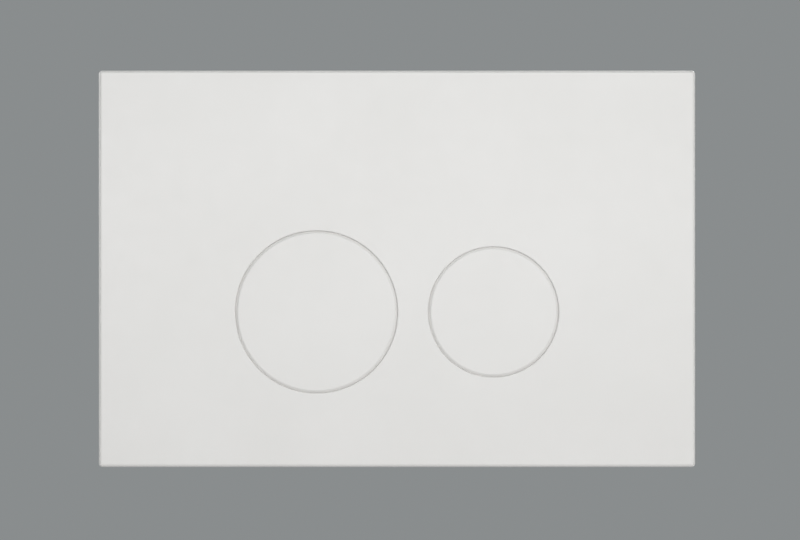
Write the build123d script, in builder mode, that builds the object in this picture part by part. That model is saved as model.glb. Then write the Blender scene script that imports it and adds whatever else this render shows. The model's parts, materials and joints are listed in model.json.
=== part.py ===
from build123d import *
from math import cos, hypot, radians, sin, sqrt
import os

# Flush button plate of a concealed cistern: a moulded front plate with two round push
# buttons, the carrier, springs and plungers behind them, threaded push rods that reach
# back to the flush valve, and the frame that is bolted to the cistern and holds the plate.
# Millimetres. X runs to the right, Y into the wall and Z up. The origin is the middle of
# the plate on the finished wall, and distances out from the wall run towards the room.

# Front plate
plate_width = 246.0
plate_height = 163.5
plate_depth = 12.5
plate_edge_radius = 1.4
face_wall = 2.5
skirt_wall = 2.5
rib_thickness = 1.2
rib_height = 2.6
rib_columns = 5
rib_column_pitch = 40.0
rib_rows = 3
rib_row_pitch = 40.0
collar_wall = 1.8
collar_length = 3.6
aperture_edge_chamfer = 0.3

# Buttons, a sliding fit in their collars, with a wide soft edge that falls away into the gap
full_button_diameter = 66.6
half_button_diameter = 53.4
button_gap = 0.15
button_land = 12.7
button_drop = 17.8
button_travel = 6.0
button_wall = 2.5
button_skirt_wall = 1.8
button_edge_width = 0.9
button_edge_depth = 0.45
end_clearance = 0.5
lug_count = 4
lug_width = 14.0
lug_reach = 2.5
lug_root_depth = 0.3
lug_thickness = 1.6
pad_length = 8.0
pad_thickness = 0.8

# Push rods and locknuts
rod_radius = 4.0
rod_reach = 70.0
rod_tip_chamfer = 1.0
rod_front_room = 1.0
thread_clearance = 0.05
locknut_width = 13.0
locknut_thickness = 5.0

# Plungers, clipped into the buttons
stem_wall = 1.95
stem_overrun = 4.0
stem_end_wall = 2.6
plunger_base_thickness = 2.4
plunger_base_margin = 2.0
plunger_corner_chamfer = 5.0
plunger_clip_width = 10.0

# Button carrier
carrier_floor = 2.0
carrier_wall = 1.8
carrier_margin = 2.0
carrier_corner_radius = 6.0
carrier_rib_height = 3.0
carrier_rib_end = 4.0
sleeve_wall = 2.5
sleeve_corner_chamfer = 2.5
sleeve_rear_length = 4.5
guide_clearance = 0.1

# Return springs
spring_wire = 1.1
spring_turns = 2.5
spring_steps_per_turn = 12
spring_room = 1.5
spring_clearance = 0.3
spring_stop_count = 4
spring_stop_thickness = 1.5
spring_stop_length = 5.0
spring_stop_height = 1.6

# Mounting frame
frame_clearance = 3.5
frame_web = 2.2
frame_rim = 1.8
frame_corner_radius = 6.0
frame_rib_pitch = 30.0
frame_rib_rows = 4
opening_side_room = 11.85
opening_end_room = 5.25
opening_corner_radius = 4.0

# Snap hooks of the plate: those that hold the carrier, and those that catch on the frame
hook_thickness = 1.8
hook_catch = 1.2
hook_nose = 1.6
hook_clearance = 0.2
carrier_hook_spacing = 50.0
carrier_hook_width = 12.0
frame_hook_spacing = 120.0
frame_hook_width = 14.0
frame_hook_flex_room = 1.6
frame_hook_rib_offset = 12.0

# Fixing studs, stepped at the wall, with their nuts and washers
stud_inset = 10.0
stud_radius = 3.0
stud_front_radius = 2.5
stud_reach = 70.0
stud_end_room = 0.8
stud_beyond_nut = 0.8
stud_clearance = 0.3
stud_slot_travel = 9.0
nut_width = 8.0
nut_thickness = 2.7
washer_width = 14.0
washer_thickness = 1.2
washer_room = 1.0

# Distances out from the wall, worked out from the face of the plate
inner_face = plate_depth - face_wall
collar_back = inner_face - collar_length
lug_front = collar_back - pad_thickness
button_back = lug_front - lug_thickness
button_inner = plate_depth - button_wall
plunger_back = button_inner - plunger_base_thickness
carrier_top = inner_face - rib_height
carrier_front = button_back - button_travel - end_clearance
carrier_back = carrier_front - carrier_floor
sleeve_front = plunger_back - button_travel - end_clearance
sleeve_back = carrier_back - sleeve_rear_length
stem_back = sleeve_back - stem_overrun
bore_end = plunger_back - stem_end_wall
stud_front = inner_face - stud_end_room
nut_back = stud_front - stud_beyond_nut - nut_thickness
frame_front = nut_back - washer_thickness
frame_web_back = frame_front - frame_web

# Places and sizes across the wall
inner_width = plate_width - 2 * skirt_wall
inner_height = plate_height - 2 * skirt_wall
full_aperture_radius = full_button_diameter / 2 + button_gap
half_aperture_radius = half_button_diameter / 2 + button_gap
pair_width = 2 * full_aperture_radius + button_land + 2 * half_aperture_radius
full_x = full_aperture_radius - pair_width / 2
half_x = pair_width / 2 - half_aperture_radius
button_z = -button_drop
carrier_border = lug_reach + carrier_margin
carrier_width = pair_width + 2 * carrier_border
carrier_height = 2 * (max(full_aperture_radius, half_aperture_radius) + carrier_border)
tray_corner_chamfer = (2 - sqrt(2)) * (carrier_corner_radius - carrier_wall)
bore_radius = rod_radius + thread_clearance
stem_width = 2 * (bore_radius + stem_wall)
sleeve_bore = stem_width + 2 * guide_clearance
sleeve_width = sleeve_bore + 2 * sleeve_wall
sleeve_corner_reach = hypot(sleeve_width / 2, sleeve_width / 2 - sleeve_corner_chamfer)
spring_radius = sleeve_corner_reach + spring_room + spring_wire / 2
spring_stop_radius = spring_radius + spring_wire / 2 + spring_clearance + spring_stop_thickness / 2
plunger_base_size = 2 * (spring_stop_radius + spring_stop_thickness / 2 + plunger_base_margin)
frame_width = inner_width - 2 * frame_clearance
frame_height = inner_height - 2 * frame_clearance
opening_width = carrier_width + 2 * opening_side_room
opening_height = 2 * (button_drop + carrier_height / 2 + opening_end_room)
side_bar = (frame_width - opening_width) / 2
end_bar = (frame_height - opening_height) / 2
stud_spacing = opening_width + 2 * stud_inset
stud_slot_width = 2 * (stud_front_radius + stud_clearance)
frame_hook_z = (frame_height - end_bar) / 2
window_low = frame_hook_z - hook_thickness - frame_hook_flex_room
window_high = frame_hook_z + hook_clearance

# Each button: the name of its set, the X of its axis and its radius
button_sets = (
    ("full_flush", full_x, full_button_diameter / 2),
    ("half_flush", half_x, half_button_diameter / 2),
)

os.makedirs("parts", exist_ok=True)


def out(distance):
    """The plane that lies this far out from the wall, facing the room."""
    return Plane.XZ.offset(distance)


def hook_outline(root, catch, face, nose_way):
    """Corners of a hook that stands back from root and catches at catch.

    Each corner is its place across the arm and its distance out from the wall. The nose
    stands off the arm's face, towards larger places for a nose_way of 1, smaller for -1.
    """
    heel = face - nose_way * hook_thickness
    nose = face + nose_way * hook_catch
    tip = catch - hook_nose
    return [(heel, root), (face, root), (face, catch), (nose, catch), (face, tip), (heel, tip)]


def save(piece, name):
    """Label a finished piece and write its file."""
    piece.label = name
    export_step(piece, f"parts/{name}.step")


# Front plate: an open-backed shell with rounded edges
with BuildPart() as front_plate:
    with BuildSketch(out(0)):
        Rectangle(plate_width, plate_height)
    extrude(amount=plate_depth)
    corner_edges = front_plate.edges().filter_by(Axis.Y)
    front_edges = front_plate.faces().sort_by(Axis.Y)[0].edges()
    fillet(corner_edges + front_edges, plate_edge_radius)
    with BuildSketch(out(0)):
        Rectangle(inner_width, inner_height)
    extrude(amount=inner_face, mode=Mode.SUBTRACT)

    # Stiffening ribs, which stop short of the washers
    with BuildSketch(out(inner_face - rib_height)):
        with GridLocations(rib_column_pitch, 0, rib_columns, 1):
            Rectangle(rib_thickness, inner_height)
        with GridLocations(0, rib_row_pitch, 1, rib_rows):
            Rectangle(inner_width, rib_thickness)
        with GridLocations(stud_spacing, 0, 2, 1):
            Rectangle(washer_width + 2 * washer_room, washer_width + 2 * washer_room, mode=Mode.SUBTRACT)
    extrude(amount=rib_height)

    # Apertures for the buttons, each with a collar behind it
    with BuildSketch(out(collar_back)):
        for _, axis_x, button_radius in button_sets:
            with Locations((axis_x, button_z)):
                Circle(button_radius + button_gap + collar_wall)
    extrude(amount=collar_length)
    with BuildSketch(out(collar_back)):
        for _, axis_x, button_radius in button_sets:
            with Locations((axis_x, button_z)):
                Circle(button_radius + button_gap)
    extrude(amount=plate_depth - collar_back, mode=Mode.SUBTRACT)
    aperture_edges = front_plate.faces().sort_by(Axis.Y)[0].inner_wires().edges()
    chamfer(aperture_edges, aperture_edge_chamfer)

    # Hooks at both ends of the carrier
    carrier_hook = hook_outline(inner_face, carrier_back, carrier_width / 2 + hook_clearance, -1)
    carrier_hook_z = button_z + (carrier_hook_spacing - carrier_hook_width) / 2
    with BuildSketch(Plane.XY.offset(carrier_hook_z)):
        with BuildLine():
            Polyline(*[(across, -distance) for across, distance in carrier_hook], close=True)
        make_face()
    upper_hook = extrude(amount=carrier_hook_width)
    lower_hook = mirror(upper_hook, about=Plane.XY.offset(button_z))
    mirror([upper_hook, lower_hook], about=Plane.YZ)

    # Hooks above and below for the mounting frame
    frame_hook = hook_outline(inner_face, frame_web_back, frame_hook_z, 1)
    with BuildSketch(Plane.YZ.offset((frame_hook_spacing - frame_hook_width) / 2)):
        with BuildLine():
            Polyline(*[(-distance, across) for across, distance in frame_hook], close=True)
        make_face()
    upper_hook = extrude(amount=frame_hook_width)
    lower_hook = mirror(upper_hook, about=Plane.XY)
    mirror([upper_hook, lower_hook], about=Plane.YZ)
save(front_plate.part, "front_plate")

# Mounting frame: a flat web on rims that stand on the wall, with ribs between the rims
with BuildPart() as mounting_frame:
    with BuildSketch(out(frame_web_back)):
        RectangleRounded(frame_width, frame_height, frame_corner_radius)
        RectangleRounded(opening_width, opening_height, opening_corner_radius, mode=Mode.SUBTRACT)
        with GridLocations(frame_hook_spacing, window_low + window_high, 2, 2):
            Rectangle(frame_hook_width + 2 * hook_clearance, window_high - window_low, mode=Mode.SUBTRACT)
        with GridLocations(stud_spacing, 0, 2, 1):
            SlotOverall(stud_slot_width + stud_slot_travel, stud_slot_width, rotation=90, mode=Mode.SUBTRACT)
    extrude(amount=frame_web)
    with BuildSketch(out(0)):
        RectangleRounded(frame_width, frame_height, frame_corner_radius)
        RectangleRounded(
            frame_width - 2 * frame_rim,
            frame_height - 2 * frame_rim,
            frame_corner_radius - frame_rim,
            mode=Mode.SUBTRACT,
        )
        with GridLocations(frame_width - side_bar, frame_rib_pitch, 2, frame_rib_rows):
            Rectangle(side_bar, rib_thickness)
        with GridLocations(frame_hook_spacing, frame_height - end_bar, 2, 2):
            with GridLocations(2 * frame_hook_rib_offset, 0, 2, 1):
                Rectangle(rib_thickness, end_bar)
        Rectangle(opening_width + 2 * frame_rim, opening_height + 2 * frame_rim)
        RectangleRounded(opening_width, opening_height, opening_corner_radius, mode=Mode.SUBTRACT)
    extrude(amount=frame_web_back)
save(mounting_frame.part, "mounting_frame")

# Fixing studs with their nuts and square washers
for side, stud_x in (("left", -stud_spacing / 2), ("right", stud_spacing / 2)):
    with BuildPart() as fixing_stud:
        with BuildSketch(out(-stud_reach)):
            with Locations((stud_x, 0)):
                Circle(stud_radius)
        extrude(amount=stud_reach)
        with BuildSketch(out(0)):
            with Locations((stud_x, 0)):
                Circle(stud_front_radius)
        extrude(amount=stud_front)
    save(fixing_stud.part, f"{side}_fixing_stud")

    with BuildPart() as stud_nut:
        with BuildSketch(out(nut_back)):
            with Locations((stud_x, 0)):
                RegularPolygon(nut_width / 2, 6, major_radius=False)
                Circle(stud_front_radius + thread_clearance, mode=Mode.SUBTRACT)
        extrude(amount=nut_thickness)
    save(stud_nut.part, f"{side}_stud_nut")

    with BuildPart() as stud_washer:
        with BuildSketch(out(frame_front)):
            with Locations((stud_x, 0)):
                Rectangle(washer_width, washer_width)
                Circle(stud_front_radius + stud_clearance, mode=Mode.SUBTRACT)
        extrude(amount=washer_thickness)
    save(stud_washer.part, f"{side}_stud_washer")

# Button carrier: a shallow tray behind the buttons, with a square guide sleeve for each stem
with BuildPart() as button_carrier:
    with BuildSketch(out(carrier_back)):
        with Locations((0, button_z)):
            RectangleRounded(carrier_width, carrier_height, carrier_corner_radius)
    extrude(amount=carrier_top - carrier_back)
    with BuildSketch(out(carrier_front)) as tray_profile:
        with Locations((0, button_z)):
            Rectangle(carrier_width - 2 * carrier_wall, carrier_height - 2 * carrier_wall)
        chamfer(tray_profile.vertices(), tray_corner_chamfer)
    extrude(amount=carrier_top - carrier_front, mode=Mode.SUBTRACT)

    # Ribs across the back, which stop short of the hooks
    with BuildSketch(out(carrier_back - carrier_rib_height)):
        with Locations((0, button_z)):
            Rectangle(carrier_width - 2 * carrier_rib_end, rib_thickness)
        for _, axis_x, _ in button_sets:
            with Locations((axis_x, button_z)):
                Rectangle(rib_thickness, carrier_height - 2 * carrier_rib_end)
    extrude(amount=carrier_rib_height)

    # Guide sleeves
    with BuildSketch(out(sleeve_back)) as sleeve_profile:
        for _, axis_x, _ in button_sets:
            with Locations((axis_x, button_z)):
                Rectangle(sleeve_width, sleeve_width)
        chamfer(sleeve_profile.vertices(), sleeve_corner_chamfer)
    extrude(amount=sleeve_front - sleeve_back)
    with BuildSketch(out(sleeve_back)):
        for _, axis_x, _ in button_sets:
            with Locations((axis_x, button_z)):
                Rectangle(sleeve_bore, sleeve_bore)
    extrude(amount=sleeve_front - sleeve_back, mode=Mode.SUBTRACT)
save(button_carrier.part, "button_carrier")

# The two button sets
for set_name, axis_x, button_radius in button_sets:
    axis = (axis_x, button_z)
    aperture_radius = button_radius + button_gap
    lug_root = sqrt(button_radius**2 - (lug_width / 2) ** 2) - lug_root_depth
    lug_tip = aperture_radius + lug_reach

    # Button: a cup flush with the face, with lugs that stop it behind the collar
    with BuildPart() as button:
        with BuildSketch(out(button_back)):
            with Locations(axis):
                Circle(button_radius)
        extrude(amount=plate_depth - button_back)
        button_face = button.faces().sort_by(Axis.Y)[0]
        chamfer(button_face.edges(), button_edge_width, button_edge_depth, reference=button_face)
        with BuildSketch(out(button_back)):
            with Locations(axis):
                Circle(button_radius - button_skirt_wall)
        extrude(amount=button_inner - button_back, mode=Mode.SUBTRACT)
        with BuildSketch(out(button_back)):
            with Locations(axis):
                with PolarLocations((lug_root + lug_tip) / 2, lug_count, start_angle=180 / lug_count):
                    Rectangle(lug_tip - lug_root, lug_width)
        extrude(amount=lug_thickness)
        # Clips that hold the plunger's base
        clip_face = button_z + plunger_base_size / 2 + guide_clearance
        clip = hook_outline(button_inner, plunger_back, clip_face, -1)
        with BuildSketch(Plane.YZ.offset(axis_x - plunger_clip_width / 2)):
            with BuildLine():
                Polyline(*[(-distance, across) for across, distance in clip], close=True)
            make_face()
        upper_clip = extrude(amount=plunger_clip_width)
        mirror(upper_clip, about=Plane.XY.offset(button_z))
    save(button.part, f"{set_name}_button")

    # Foam pads on the lugs, which meet the collar
    pad_radius = aperture_radius + collar_wall / 2
    with BuildPart() as stop_pads:
        with BuildSketch(out(lug_front)):
            with Locations(axis):
                with PolarLocations(pad_radius, lug_count, start_angle=180 / lug_count):
                    Rectangle(collar_wall, pad_length)
        extrude(amount=pad_thickness)
    save(stop_pads.part, f"{set_name}_stop_pads")

    # Plunger: a base under the button and a square stem, bored for the rod
    with BuildPart() as plunger:
        with BuildSketch(out(plunger_back)) as base_profile:
            with Locations(axis):
                Rectangle(plunger_base_size, plunger_base_size)
            chamfer(base_profile.vertices(), plunger_corner_chamfer)
        extrude(amount=plunger_base_thickness)
        with BuildSketch(out(stem_back)):
            with Locations(axis):
                Rectangle(stem_width, stem_width)
        extrude(amount=plunger_back - stem_back)
        with BuildSketch(out(plunger_back - spring_stop_height)):
            with Locations(axis):
                with PolarLocations(spring_stop_radius, spring_stop_count):
                    Rectangle(spring_stop_thickness, spring_stop_length)
        extrude(amount=spring_stop_height)
        with BuildSketch(out(stem_back)):
            with Locations(axis):
                Circle(bore_radius)
        extrude(amount=bore_end - stem_back, mode=Mode.SUBTRACT)
    save(plunger.part, f"{set_name}_plunger")

    # Return spring round the sleeve, between the carrier's floor and the plunger
    spring_back = carrier_front + spring_clearance + spring_wire / 2
    spring_front = plunger_back - spring_clearance - spring_wire / 2
    spring_steps = round(spring_turns * spring_steps_per_turn)
    spring_points = []
    for step in range(spring_steps + 1):
        turn = radians(360 * step / spring_steps_per_turn)
        height = spring_back + (spring_front - spring_back) * step / spring_steps
        spring_points.append(
            (axis_x + spring_radius * cos(turn), -height, button_z + spring_radius * sin(turn))
        )
    with BuildPart() as spring:
        with BuildLine() as coil:
            Polyline(*spring_points)
        with BuildSketch(Plane(coil.line @ 0, x_dir=(1, 0, 0), z_dir=coil.line % 0)):
            Rectangle(spring_wire, spring_wire)
        sweep(transition=Transition.RIGHT)
    save(spring.part, f"{set_name}_spring")

    # Push rod, screwed into the stem
    with BuildPart() as push_rod:
        with BuildSketch(out(-rod_reach)):
            with Locations(axis):
                Circle(rod_radius)
        extrude(amount=bore_end - rod_front_room + rod_reach)
        chamfer(push_rod.faces().sort_by(Axis.Y)[-1].edges(), rod_tip_chamfer)
    save(push_rod.part, f"{set_name}_push_rod")

    # Locknut against the end of the stem
    with BuildPart() as locknut:
        with BuildSketch(out(stem_back - locknut_thickness)):
            with Locations(axis):
                RegularPolygon(locknut_width / 2, 6, major_radius=False)
                Circle(bore_radius, mode=Mode.SUBTRACT)
        extrude(amount=locknut_thickness)
    save(locknut.part, f"{set_name}_locknut")
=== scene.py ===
# Looks of the flush button plate: rounded edges, threads, springs, finishes, light and camera.
# Metres. X runs to the right, Y into the wall and Z up, as in the model that is loaded here.
import json
from math import cos, hypot, pi, radians, sin, tan

import bmesh
import bpy
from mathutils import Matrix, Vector

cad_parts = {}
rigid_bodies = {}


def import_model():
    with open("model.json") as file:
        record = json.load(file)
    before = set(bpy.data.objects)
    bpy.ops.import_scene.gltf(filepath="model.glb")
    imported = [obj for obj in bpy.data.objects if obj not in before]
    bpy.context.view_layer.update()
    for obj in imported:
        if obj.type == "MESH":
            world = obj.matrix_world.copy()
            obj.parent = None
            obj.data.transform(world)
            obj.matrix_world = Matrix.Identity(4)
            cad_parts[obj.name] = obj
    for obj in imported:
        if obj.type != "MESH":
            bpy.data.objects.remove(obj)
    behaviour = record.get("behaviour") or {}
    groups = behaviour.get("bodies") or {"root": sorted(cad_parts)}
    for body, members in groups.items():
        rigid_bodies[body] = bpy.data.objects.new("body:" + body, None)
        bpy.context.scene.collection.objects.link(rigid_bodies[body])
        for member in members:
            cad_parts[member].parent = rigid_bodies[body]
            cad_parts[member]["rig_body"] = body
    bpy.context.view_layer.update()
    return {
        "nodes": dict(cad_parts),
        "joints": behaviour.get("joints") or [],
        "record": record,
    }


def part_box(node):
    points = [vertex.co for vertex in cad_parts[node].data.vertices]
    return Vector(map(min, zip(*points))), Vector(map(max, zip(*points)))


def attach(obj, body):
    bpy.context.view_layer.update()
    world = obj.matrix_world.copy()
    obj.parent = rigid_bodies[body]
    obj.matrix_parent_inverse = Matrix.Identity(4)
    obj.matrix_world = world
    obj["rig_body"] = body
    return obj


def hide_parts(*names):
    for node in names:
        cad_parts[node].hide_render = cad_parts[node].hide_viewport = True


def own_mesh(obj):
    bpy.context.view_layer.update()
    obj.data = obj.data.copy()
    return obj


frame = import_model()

MM = 0.001

scene = bpy.context.scene
nodes = frame["nodes"]
slot_of = {row["node"]: row["material_slot"] for row in frame["record"]["subparts"]}
press_joint = {joint["child"]: joint for joint in frame["joints"]}

# Rounding of the moulded and pressed edges, by node: how far it reaches from each edge
EDGE_REACH = {
    "front_plate": 0.22 * MM,
    "full_flush_button": 0.2 * MM,
    "half_flush_button": 0.2 * MM,
    "mounting_frame": 0.25 * MM,
    "button_carrier": 0.25 * MM,
    "full_flush_plunger": 0.2 * MM,
    "half_flush_plunger": 0.2 * MM,
    "left_stud_washer": 0.12 * MM,
    "right_stud_washer": 0.12 * MM,
    "full_flush_stop_pads": 0.2 * MM,
    "half_flush_stop_pads": 0.2 * MM,
}
EDGE_STEPS = 2
ROUND_PROFILE = 0.5
SHARP_ANGLE = radians(25)
FLAT_ANGLE = radians(0.4)
WELD_DISTANCE = 0.001 * MM

# Rounding of the front edges of the plate and the buttons: its reach at the face and behind it
RIM_REACH = {
    "front_plate": (0.36 * MM, 0.06 * MM),
    "full_flush_button": (0.85 * MM, 0.1 * MM),
    "half_flush_button": (0.85 * MM, 0.1 * MM),
}
RIM_DEPTH = 0.6 * MM
RIM_FALL = 0.22 * MM
RIM_ANGLE = radians(15)
RIM_STEPS = 5

# Circles round the buttons' axes: the chords within this reach and with less sag than this are divided
CIRCLE_REACH = 40 * MM
CHORD_SAG = 0.08 * MM
CHORD_CUTS = 3

# Guide beads round the buttons' skirts
BEAD_SETBACK = 0.27 * MM
BEAD_HEIGHT = 0.12 * MM
BEAD_LENGTH = 0.3 * MM
BEAD_ROOT = 0.3 * MM
BEAD_STEPS = 256
BEAD_SECTION_STEPS = 6

# Threads: the profile's points are a share of the pitch and a share of the depth
THREAD_PROFILE = (
    (0.00, 0.08), (0.05, 0.00), (0.17, 0.00), (0.22, 0.08),
    (0.50, 0.92), (0.55, 1.00), (0.67, 1.00), (0.72, 0.92),
)
THREAD_STEPS = 40
THREAD_SPARE_TURNS = 4
ROD_PITCH = 1.75 * MM
ROD_THREAD_DEPTH = 0.62 * MM
ROD_TIP_RADIUS = 3.0 * MM
STUD_PITCH = 1.0 * MM
STUD_THREAD_DEPTH = 0.55 * MM
STUD_TIP_RADIUS = 2.2 * MM
STUD_FRONT_RADIUS = 2.5 * MM
STUD_FRONT_PITCH = 0.8 * MM
STUD_FRONT_DEPTH = 0.42 * MM
STUD_FRONT_TIP_RADIUS = 1.9 * MM
STUD_STEP_LAP = 0.6 * MM

# Nuts
NUT_STEPS = 96
NUT_CHAMFER = radians(30)
NUT_FACE_SHARE = 0.95
NUT_BORE_CLEARANCE = 0.05 * MM

# Springs
SPRING_WIRE = 1.1 * MM
SPRING_COILS = 3.5
SPRING_END_COILS = 0.75
SPRING_STEPS = 48
SPRING_WIRE_STEPS = 14

# Marks that the mould's ejector pins leave on the back of the plate's face
EJECTOR_RADIUS = 2.5 * MM
EJECTOR_HEIGHT = 0.08 * MM
EJECTOR_COLUMNS = (-60 * MM, -20 * MM, 20 * MM, 60 * MM)
EJECTOR_ROWS = (30 * MM, 51 * MM)
EJECTOR_STEPS = 40
FACE_WALL = 2.5 * MM

# Finishes by material slot. Scales are cells a metre, and a relief's layer has a scale and a depth
FINISHES = {
    "white_gloss_plastic": {
        "colours": ((0.812, 0.796, 0.774), (0.834, 0.818, 0.798)),
        "tint_scale": 22.0,
        "roughness": (0.33, 0.38),
        "roughness_scale": 160.0,
        "layers": ((2600.0, 0.003 * MM), (240.0, 0.004 * MM)),
        "constants": {"IOR": 1.53},
    },
    "frame_plastic": {
        "colours": ((0.105, 0.112, 0.120), (0.128, 0.136, 0.145)),
        "tint_scale": 40.0,
        "roughness": (0.48, 0.62),
        "roughness_scale": 220.0,
        "layers": ((2200.0, 0.012 * MM), (320.0, 0.01 * MM)),
        "constants": {"IOR": 1.49},
    },
    "carrier_plastic": {
        "colours": ((0.44, 0.455, 0.47), (0.49, 0.505, 0.52)),
        "tint_scale": 45.0,
        "roughness": (0.42, 0.55),
        "roughness_scale": 200.0,
        "layers": ((2400.0, 0.010 * MM), (300.0, 0.008 * MM)),
        "constants": {"IOR": 1.49},
    },
    "plunger_plastic": {
        "colours": ((0.70, 0.68, 0.60), (0.76, 0.74, 0.67)),
        "tint_scale": 90.0,
        "roughness": (0.30, 0.42),
        "roughness_scale": 260.0,
        "layers": ((1900.0, 0.006 * MM), (400.0, 0.006 * MM)),
        "constants": {
            "IOR": 1.48,
            "Subsurface Weight": 0.15,
            "Subsurface Radius": (1.0, 0.9, 0.7),
            "Subsurface Scale": 0.8 * MM,
        },
    },
    "rod_plastic": {
        "colours": ((0.66, 0.66, 0.62), (0.73, 0.73, 0.69)),
        "tint_scale": 120.0,
        "roughness": (0.32, 0.46),
        "roughness_scale": 300.0,
        "layers": ((2100.0, 0.006 * MM), (500.0, 0.006 * MM)),
        "constants": {"IOR": 1.48},
    },
    "pad_foam": {
        "colours": ((0.012, 0.012, 0.013), (0.03, 0.03, 0.032)),
        "tint_scale": 1600.0,
        "roughness": (0.85, 0.97),
        "roughness_scale": 900.0,
        "layers": ((3200.0, 0.06 * MM), (1500.0, 0.05 * MM)),
        "constants": {},
    },
    "spring_steel": {
        "colours": ((0.50, 0.49, 0.47), (0.60, 0.59, 0.58)),
        "tint_scale": 400.0,
        "roughness": (0.20, 0.34),
        "roughness_scale": 900.0,
        "layers": ((3600.0, 0.003 * MM),),
        "constants": {"Metallic": 1.0},
    },
    "zinc_steel": {
        "colours": ((0.56, 0.58, 0.61), (0.67, 0.67, 0.66)),
        "tint_scale": 180.0,
        "roughness": (0.38, 0.55),
        "roughness_scale": 700.0,
        "layers": ((3000.0, 0.004 * MM), (700.0, 0.003 * MM)),
        "constants": {"Metallic": 1.0},
    },
}
TINT_DETAIL = 3.0
ROUGHNESS_DETAIL = 4.0
RELIEF_DETAIL = 2.0

# The values between which most of a noise lies
NOISE_LOW = 0.3
NOISE_HIGH = 0.7

# A mix node's sockets for colours, which share their names with those for numbers and vectors
MIX_FIRST_COLOUR = 6
MIX_SECOND_COLOUR = 7
MIX_RESULT_COLOUR = 2

# Floor and backdrop
FLOOR_FINISH = {
    "colours": ((0.45, 0.45, 0.45), (0.48, 0.48, 0.48)),
    "tint_scale": 6.0,
    "roughness": (0.7, 0.85),
    "roughness_scale": 30.0,
    "layers": ((160.0, 0.05 * MM),),
    "constants": {},
}
FLOOR_DROP = 0.32
FLOOR_RADIUS = 3.2
FLOOR_FADE_START = 0.7
FLOOR_STEPS = 96
BACKDROP_COLOUR = (0.252, 0.266, 0.270)

# Softboxes: place, width and height, and power in watts
SOFTBOXES = {
    "key": ((0.1, -2.2, 0.9), (0.9, 0.7), 11.8),
    "front": ((0.0, -0.9, 0.05), (0.7, 0.2), 2.2),
    "side": ((1.3, -1.3, 0.25), (0.9, 0.9), 4.7),
    "rear_key": ((0.9, 1.6, 1.3), (1.2, 1.0), 26.0),
    "rear_fill": ((-1.5, 1.3, 0.5), (1.0, 1.0), 12.0),
}
LIGHT_AIM = Vector((0.0, 0.0, 0.0))

# Camera, with the plate's width and middle in the photograph's pixels
IMAGE_SIZE = (800, 540)
PLATE_WIDTH_PIXELS = 596.7
PLATE_MIDDLE_PIXEL = (397.0, 268.8)
LENS = 200.0
SENSOR = 36.0
NEAREST_SEEN = 0.05
FARTHEST_SEEN = 50.0


# Finishes

def add_node(tree, kind, **inputs):
    """Add a shader node and set its inputs by name."""
    node = tree.nodes.new(kind)
    for name, value in inputs.items():
        node.inputs[name.replace("_", " ")].default_value = value
    return node


def noise(tree, place, scale, detail):
    """The value of a noise in the object's own frame, scale being cells a metre."""
    node = add_node(tree, "ShaderNodeTexNoise", Scale=scale, Detail=detail)
    tree.links.new(place, node.inputs["Vector"])
    return node.outputs["Fac"]


def spread(tree, value, low, high):
    """Map a noise to a range."""
    node = add_node(
        tree, "ShaderNodeMapRange", From_Min=NOISE_LOW, From_Max=NOISE_HIGH, To_Min=low, To_Max=high
    )
    tree.links.new(value, node.inputs["Value"])
    return node.outputs["Result"]


def blend_colours(tree, value, first, second):
    """Mix two colours by a value from 0 to 1."""
    node = tree.nodes.new("ShaderNodeMix")
    node.data_type = "RGBA"
    node.inputs[MIX_FIRST_COLOUR].default_value = (*first, 1.0)
    node.inputs[MIX_SECOND_COLOUR].default_value = (*second, 1.0)
    tree.links.new(value, node.inputs["Factor"])
    return node.outputs[MIX_RESULT_COLOUR]


def relief(tree, place, layers):
    """A normal from noises of several scales, each with its depth in metres."""
    total = None
    for scale, depth in layers:
        height = tree.nodes.new("ShaderNodeMath")
        height.operation = "MULTIPLY_ADD"
        factor, depth_socket, base = height.inputs
        tree.links.new(noise(tree, place, scale, RELIEF_DETAIL), factor)
        depth_socket.default_value = depth
        base.default_value = 0.0
        if total is not None:
            tree.links.new(total, base)
        total = height.outputs[0]
    bump = add_node(tree, "ShaderNodeBump", Strength=1.0, Distance=1.0)
    tree.links.new(total, bump.inputs["Height"])
    return bump.outputs["Normal"]


def finish(name, colours, tint_scale, roughness, roughness_scale, layers, constants):
    """A finish with a faint change of tint and gloss over the surface and a fine relief."""
    material = bpy.data.materials.new(name)
    material.use_nodes = True
    tree = material.node_tree
    shader = tree.nodes["Principled BSDF"]
    place = tree.nodes.new("ShaderNodeTexCoord").outputs["Object"]
    tint = spread(tree, noise(tree, place, tint_scale, TINT_DETAIL), 0.0, 1.0)
    gloss = spread(tree, noise(tree, place, roughness_scale, ROUGHNESS_DETAIL), *roughness)
    tree.links.new(blend_colours(tree, tint, *colours), shader.inputs["Base Color"])
    tree.links.new(gloss, shader.inputs["Roughness"])
    tree.links.new(relief(tree, place, layers), shader.inputs["Normal"])
    for socket, value in constants.items():
        shader.inputs[socket].default_value = value
    return material


# Pieces

def middle(node):
    """X and Z of a node's middle."""
    low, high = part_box(node)
    return (low.x + high.x) / 2, (low.z + high.z) / 2


def outer_radius(node):
    """Half of a round node's width."""
    low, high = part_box(node)
    return (high.x - low.x) / 2


def add_object(name, form):
    """A new smooth object of a finished bmesh."""
    for face in form.faces:
        face.smooth = True
    bmesh.ops.recalc_face_normals(form, faces=form.faces)
    mesh = bpy.data.meshes.new(name)
    form.to_mesh(mesh)
    form.free()
    piece = bpy.data.objects.new(name, mesh)
    scene.collection.objects.link(piece)
    return piece


def mark_sharp(form):
    """Keep the shading apart across sharp edges."""
    for edge in form.edges:
        edge.smooth = not (edge.is_manifold and edge.calc_face_angle() > SHARP_ANGLE)


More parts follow.
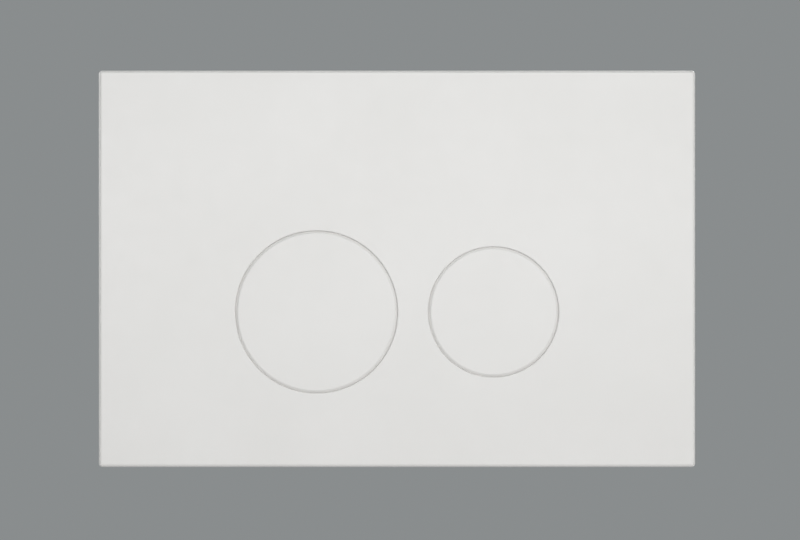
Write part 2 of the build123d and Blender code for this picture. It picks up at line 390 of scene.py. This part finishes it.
def dress(piece, node):
    """Give a piece the body and the finish of a CAD node."""
    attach(piece, nodes[node]["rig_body"])
    piece.data.materials.clear()
    piece.data.materials.append(finishes[slot_of[node]])


def replacement(form, node):
    """A piece of a finished bmesh that stands for a CAD node."""
    piece = add_object(node + "_form", form)
    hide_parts(node)
    dress(piece, node)
    return piece


def ring_points(form, axis, angle, section):
    """Points of a section, pairs of radius and Y, at an angle round an axis along Y."""
    axis_x, axis_z = axis
    return [form.verts.new((axis_x + r * cos(angle), y, axis_z + r * sin(angle))) for r, y in section]


def join_rings(form, rings):
    """Faces from each ring of points to the next."""
    for ring, following in zip(rings, rings[1:]):
        for index in range(len(ring)):
            ahead = (index + 1) % len(ring)
            form.faces.new((ring[index], ring[ahead], following[ahead], following[index]))


def true_circles(form, axis):
    """Divide the chords of circles round an axis along Y and bring the new points to the circles."""
    axis_x, axis_z = axis
    chords = []
    radii = set()
    for edge in form.edges:
        first, second = (vert.co for vert in edge.verts)
        radius = hypot(first.x - axis_x, first.z - axis_z)
        other_radius = hypot(second.x - axis_x, second.z - axis_z)
        is_chord = abs(radius - other_radius) < WELD_DISTANCE and abs(first.y - second.y) < WELD_DISTANCE
        # A short chord's sag is its length squared, divided by 8 radii
        if is_chord and radius < CIRCLE_REACH and edge.calc_length() ** 2 < 8 * radius * CHORD_SAG:
            chords.append(edge)
            radii.add(radius)
    made = bmesh.ops.subdivide_edges(form, edges=chords, cuts=CHORD_CUTS)["geom_inner"]
    for vert in made:
        if isinstance(vert, bmesh.types.BMVert):
            reach = Vector((vert.co.x - axis_x, 0.0, vert.co.z - axis_z))
            radius = min(radii, key=lambda known: abs(known - reach.length))
            vert.co += reach * (radius / reach.length - 1.0)


def edges_over(form, angle):
    """The edges whose two faces turn by more than an angle."""
    return [edge for edge in form.edges if edge.is_manifold and edge.calc_face_angle() > angle]


def round_edges(form, edges, reach, steps):
    """Round edges of a bmesh, reaching this far from each of them."""
    bmesh.ops.bevel(
        form, geom=edges, offset=reach, offset_type="OFFSET", segments=steps,
        profile=ROUND_PROFILE, affect="EDGES", clamp_overlap=True,
    )


def lower_rim(form, face, axis):
    """Let a button's face fall away a little more towards its edge."""
    axis_x, axis_z = axis
    radii = {
        vert: hypot(vert.co.x - axis_x, vert.co.z - axis_z)
        for vert in form.verts if vert.co.y < face + RIM_DEPTH
    }
    start = max(radius for vert, radius in radii.items() if vert.co.y < face + WELD_DISTANCE)
    end = max(radii.values())
    for vert, radius in radii.items():
        vert.co.y += RIM_FALL * (max(radius - start, 0.0) / (end - start)) ** 2


def soften_rims(form, node):
    """Make the circles round the buttons' axes true and soften the front edges of a node."""
    for axis in button_axes.values():
        true_circles(form, axis)
    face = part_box(node)[0].y
    for reach, depth in zip(RIM_REACH[node], (WELD_DISTANCE, RIM_DEPTH)):
        rim = [
            edge for edge in edges_over(form, RIM_ANGLE)
            if max(vert.co.y for vert in edge.verts) < face + depth
        ]
        round_edges(form, rim, reach, RIM_STEPS)
    body = nodes[node]["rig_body"]
    if body in button_axes:
        lower_rim(form, face, button_axes[body])


def rounded_copy(node, reach):
    """A copy of a CAD node with its sharp edges rounded, which stands for it."""
    form = bmesh.new()
    form.from_mesh(nodes[node].data)
    bmesh.ops.remove_doubles(form, verts=form.verts, dist=WELD_DISTANCE)
    bmesh.ops.dissolve_limit(form, angle_limit=FLAT_ANGLE, verts=form.verts, edges=form.edges)
    if node in RIM_REACH:
        soften_rims(form, node)
    round_edges(form, edges_over(form, SHARP_ANGLE), reach, EDGE_STEPS)
    piece = replacement(form, node)
    weights = piece.modifiers.new("flat faces", "WEIGHTED_NORMAL")
    weights.keep_sharp = True
    return piece


def guide_bead(node, axis):
    """A low bead round a button's skirt, just behind its soft edge, that guides it in its collar."""
    axis_x, axis_z = axis
    rim_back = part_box(node)[0].y + RIM_DEPTH
    rim = [vert.co for vert in nodes[node].data.vertices if vert.co.y < rim_back]
    radius = max(hypot(point.x - axis_x, point.z - axis_z) for point in rim)
    start = max(point.y for point in rim) + BEAD_SETBACK
    section = [(radius - BEAD_ROOT, start + BEAD_LENGTH), (radius - BEAD_ROOT, start)]
    for step in range(BEAD_SECTION_STEPS + 1):
        turn = pi * step / BEAD_SECTION_STEPS
        section.append((radius + BEAD_HEIGHT * sin(turn), start + BEAD_LENGTH * (1 - cos(turn)) / 2))
    form = bmesh.new()
    rings = [
        ring_points(form, axis, 2 * pi * step / BEAD_STEPS, section) for step in range(BEAD_STEPS)
    ]
    join_rings(form, rings + rings[:1])
    mark_sharp(form)
    dress(add_object(node + "_guide_bead", form), node)


def add_thread(form, axis, start, end, radius, pitch, depth, tip_radius):
    """Add a closed right-hand thread along Y from start to end, bevelled at both ends."""
    per_turn = len(THREAD_PROFILE)
    turns = int((end - start) / pitch) + THREAD_SPARE_TURNS
    rows = []
    for step in range(THREAD_STEPS):
        section = []
        for index in range(turns * per_turn):
            turn, point = divmod(index, per_turn)
            phase, low = THREAD_PROFILE[point]
            # The profile runs past both ends and is cut off there
            along = start + pitch * (turn - 1 + phase - step / THREAD_STEPS)
            along = min(max(along, start), end)
            reach = min(radius - depth * low, tip_radius + min(along - start, end - along))
            section.append((reach, along))
        rows.append(ring_points(form, axis, 2 * pi * step / THREAD_STEPS, section))
    for step, row in enumerate(rows):
        following = rows[(step + 1) % THREAD_STEPS]
        shift = per_turn if step == THREAD_STEPS - 1 else 0
        for index in range(shift, len(row) - 1):
            ahead = index - shift
            form.faces.new((row[index], row[index + 1], following[ahead + 1], following[ahead]))
    verts = [vert for row in rows for vert in row]
    bmesh.ops.remove_doubles(form, verts=verts, dist=WELD_DISTANCE)
    loose = [vert for vert in form.verts if not vert.link_faces]
    bmesh.ops.delete(form, geom=loose, context="VERTS")
    rims = [edge for edge in form.edges if edge.is_boundary]
    bmesh.ops.holes_fill(form, edges=rims, sides=0)


def push_rod(node):
    """A push rod with its moulded thread."""
    low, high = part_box(node)
    form = bmesh.new()
    add_thread(
        form, middle(node), low.y, high.y, outer_radius(node),
        ROD_PITCH, ROD_THREAD_DEPTH, ROD_TIP_RADIUS,
    )
    mark_sharp(form)
    replacement(form, node)


def fixing_stud(node):
    """A stud with its coarse thread behind the wall plane and its fine one in front of it."""
    low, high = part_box(node)
    axis = middle(node)
    form = bmesh.new()
    add_thread(
        form, axis, 0.0, high.y, outer_radius(node),
        STUD_PITCH, STUD_THREAD_DEPTH, STUD_TIP_RADIUS,
    )
    add_thread(
        form, axis, low.y, STUD_STEP_LAP, STUD_FRONT_RADIUS,
        STUD_FRONT_PITCH, STUD_FRONT_DEPTH, STUD_FRONT_TIP_RADIUS,
    )
    mark_sharp(form)
    replacement(form, node)


def hexagon_nut(node, bore):
    """A nut with corners chamfered on both faces."""
    low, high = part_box(node)
    apothem = (high.z - low.z) / 2
    face_radius = NUT_FACE_SHARE * apothem
    form = bmesh.new()
    rings = []
    for step in range(NUT_STEPS):
        angle = 2 * pi * step / NUT_STEPS
        reach = apothem / cos(angle % (pi / 3) - pi / 6)
        drop = (reach - face_radius) * tan(NUT_CHAMFER)
        section = (
            (bore, low.y), (face_radius, low.y), (reach, low.y + drop),
            (reach, high.y - drop), (face_radius, high.y), (bore, high.y),
        )
        rings.append(ring_points(form, middle(node), angle, section))
    join_rings(form, rings + rings[:1])
    mark_sharp(form)
    replacement(form, node)


def spring_height(coil, length):
    """How far along the spring a count of coils lies: its end coils are closed."""
    end_rise = SPRING_END_COILS * SPRING_WIRE
    if coil < SPRING_END_COILS:
        return SPRING_WIRE * coil
    if coil > SPRING_COILS - SPRING_END_COILS:
        return length - SPRING_WIRE * (SPRING_COILS - coil)
    share = (coil - SPRING_END_COILS) / (SPRING_COILS - 2 * SPRING_END_COILS)
    return end_rise + share * (length - 2 * end_rise)


def return_spring(node, body):
    """A return spring of round wire, attached to the body of its CAD node."""
    low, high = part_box(node)
    axis_x, axis_z = button_axes[body]
    coil_radius = outer_radius(node) - SPRING_WIRE / 2
    length = high.y - low.y - SPRING_WIRE
    along = Vector((0.0, 1.0, 0.0))
    form = bmesh.new()
    rings = []
    for step in range(int(SPRING_COILS * SPRING_STEPS) + 1):
        coil = step / SPRING_STEPS
        angle = -2 * pi * coil
        outward = Vector((cos(angle), 0.0, sin(angle)))
        centre = Vector((axis_x, low.y + SPRING_WIRE / 2 + spring_height(coil, length), axis_z))
        centre += outward * coil_radius
        ring = []
        for part in range(SPRING_WIRE_STEPS):
            turn = 2 * pi * part / SPRING_WIRE_STEPS
            offset = (outward * cos(turn) + along * sin(turn)) * SPRING_WIRE / 2
            ring.append(form.verts.new(centre + offset))
        rings.append(ring)
    join_rings(form, rings)
    form.faces.new(rings[0])
    form.faces.new(rings[-1])
    mark_sharp(form)
    piece = replacement(form, node)
    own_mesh(piece)


def ejector_marks():
    """Round marks on the back of the plate's face, above the carrier."""
    inner_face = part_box("front_plate")[0].y + FACE_WALL
    section = (
        (EJECTOR_RADIUS, inner_face),
        (EJECTOR_RADIUS - EJECTOR_HEIGHT, inner_face + EJECTOR_HEIGHT),
    )
    form = bmesh.new()
    for x in EJECTOR_COLUMNS:
        for z in EJECTOR_ROWS:
            points = [
                ring_points(form, (x, z), 2 * pi * step / EJECTOR_STEPS, section)
                for step in range(EJECTOR_STEPS)
            ]
            rims = list(zip(*points))
            join_rings(form, rims)
            for rim in rims:
                form.faces.new(rim)
    mark_sharp(form)
    dress(add_object("plate_ejector_marks", form), "front_plate")


# Floor, light and camera

def studio_floor():
    """A plain pale disc, well below the plate, that fades into the backdrop."""
    form = bmesh.new()
    bmesh.ops.create_circle(form, cap_ends=True, segments=FLOOR_STEPS, radius=FLOOR_RADIUS)
    floor = add_object("studio_floor", form)
    floor.location.z = -FLOOR_DROP
    material = finish("studio_floor", **FLOOR_FINISH)
    tree = material.node_tree
    reach = tree.nodes.new("ShaderNodeVectorMath")
    reach.operation = "LENGTH"
    fade = add_node(tree, "ShaderNodeMapRange", From_Min=FLOOR_FADE_START, From_Max=FLOOR_RADIUS)
    fade.interpolation_type = "SMOOTHSTEP"
    clear = tree.nodes.new("ShaderNodeBsdfTransparent")
    mixed = tree.nodes.new("ShaderNodeMixShader")
    share, near_shader, far_shader = mixed.inputs
    tree.links.new(tree.nodes.new("ShaderNodeTexCoord").outputs["Object"], reach.inputs[0])
    tree.links.new(reach.outputs["Value"], fade.inputs["Value"])
    tree.links.new(fade.outputs["Result"], share)
    tree.links.new(tree.nodes["Principled BSDF"].outputs["BSDF"], near_shader)
    tree.links.new(clear.outputs["BSDF"], far_shader)
    tree.links.new(mixed.outputs["Shader"], tree.nodes["Material Output"].inputs["Surface"])
    floor.data.materials.append(material)


def backdrop():
    """An even grey all round."""
    world = bpy.data.worlds.new("backdrop")
    world.use_nodes = True
    world.node_tree.nodes["Background"].inputs["Color"].default_value = (*BACKDROP_COLOUR, 1.0)
    scene.world = world


def softbox(name, place, size, power):
    """A rectangular soft light that the camera doesn't see."""
    light = bpy.data.lights.new(name, "AREA")
    light.shape = "RECTANGLE"
    light.size, light.size_y = size
    light.energy = power
    lamp = bpy.data.objects.new(name, light)
    lamp.location = place
    lamp.rotation_euler = (LIGHT_AIM - Vector(place)).to_track_quat("-Z", "Y").to_euler()
    lamp.visible_camera = False
    scene.collection.objects.link(lamp)


def front_camera():
    """A long lens squarely in front of the plate, framed as the photograph is."""
    lens = bpy.data.cameras.new("front_camera")
    lens.lens = LENS
    lens.sensor_width = SENSOR
    lens.sensor_fit = "HORIZONTAL"
    lens.clip_start = NEAREST_SEEN
    lens.clip_end = FARTHEST_SEEN
    camera = bpy.data.objects.new("front_camera", lens)
    low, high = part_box("front_plate")
    pixel_size = (high.x - low.x) / PLATE_WIDTH_PIXELS
    camera.location = (
        (IMAGE_SIZE[0] / 2 - PLATE_MIDDLE_PIXEL[0]) * pixel_size,
        low.y - pixel_size * IMAGE_SIZE[0] * LENS / SENSOR,
        (PLATE_MIDDLE_PIXEL[1] - IMAGE_SIZE[1] / 2) * pixel_size,
    )
    camera.rotation_euler = (radians(90), 0.0, 0.0)
    scene.collection.objects.link(camera)
    scene.camera = camera


finishes = {slot: finish(slot, **facts) for slot, facts in FINISHES.items()}
button_axes = {body: middle(body + "_push_rod") for body in press_joint}
rounded = {node: rounded_copy(node, reach) for node, reach in EDGE_REACH.items()}
for body, axis in button_axes.items():
    guide_bead(body + "_button", axis)
    push_rod(body + "_push_rod")
    hexagon_nut(body + "_locknut", outer_radius(body + "_push_rod") + NUT_BORE_CLEARANCE)
    return_spring(body + "_spring", body)
for side in ("left", "right"):
    fixing_stud(side + "_fixing_stud")
    hexagon_nut(side + "_stud_nut", STUD_FRONT_RADIUS + NUT_BORE_CLEARANCE)
ejector_marks()

studio_floor()
backdrop()
for name, (place, size, power) in SOFTBOXES.items():
    softbox(name, place, size, power)
front_camera()
scene.view_settings.view_transform = "Standard"
scene.view_settings.look = "None"
